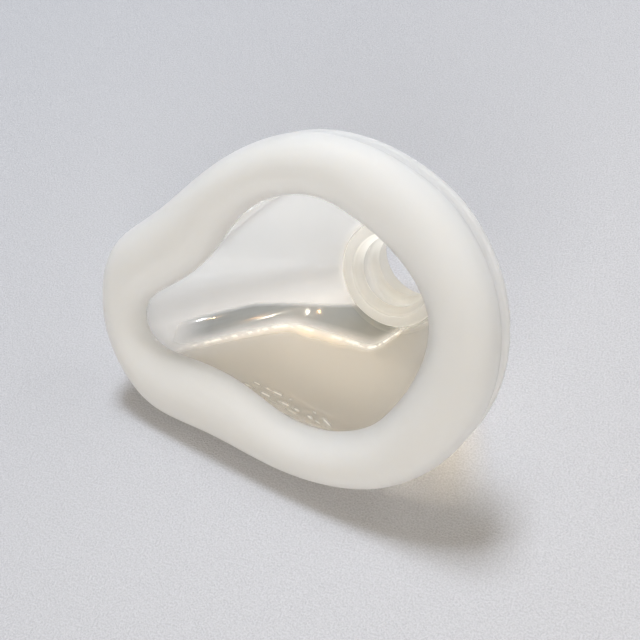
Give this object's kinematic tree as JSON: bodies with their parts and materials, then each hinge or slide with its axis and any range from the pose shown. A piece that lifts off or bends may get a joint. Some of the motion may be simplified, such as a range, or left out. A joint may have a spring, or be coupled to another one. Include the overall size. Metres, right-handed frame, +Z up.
{
  "type": "anesthesia face mask",
  "caption": "One-piece clear silicone anaesthesia face mask, on its side: rolled hollow cuff, thin rim, domed shell and thick round port with sealing ribs for a breathing circuit.",
  "frame": {"origin": "middle of the footprint on the table, as the mask comes to rest on its side", "axes": "+Z up; +X along the mask's length from nose to chin, as far as it lies level; the face opening looks towards -Y and up, the port towards +Y and down"},
  "size_m": [0.1068, 0.0784, 0.077],
  "materials": {
    "silicone": "clear silicone: matt milky cuff, glossy clear dome, milky port"
  },
  "bodies": {
    "root": {"mask_body": "silicone"}
  },
  "joints": []
}
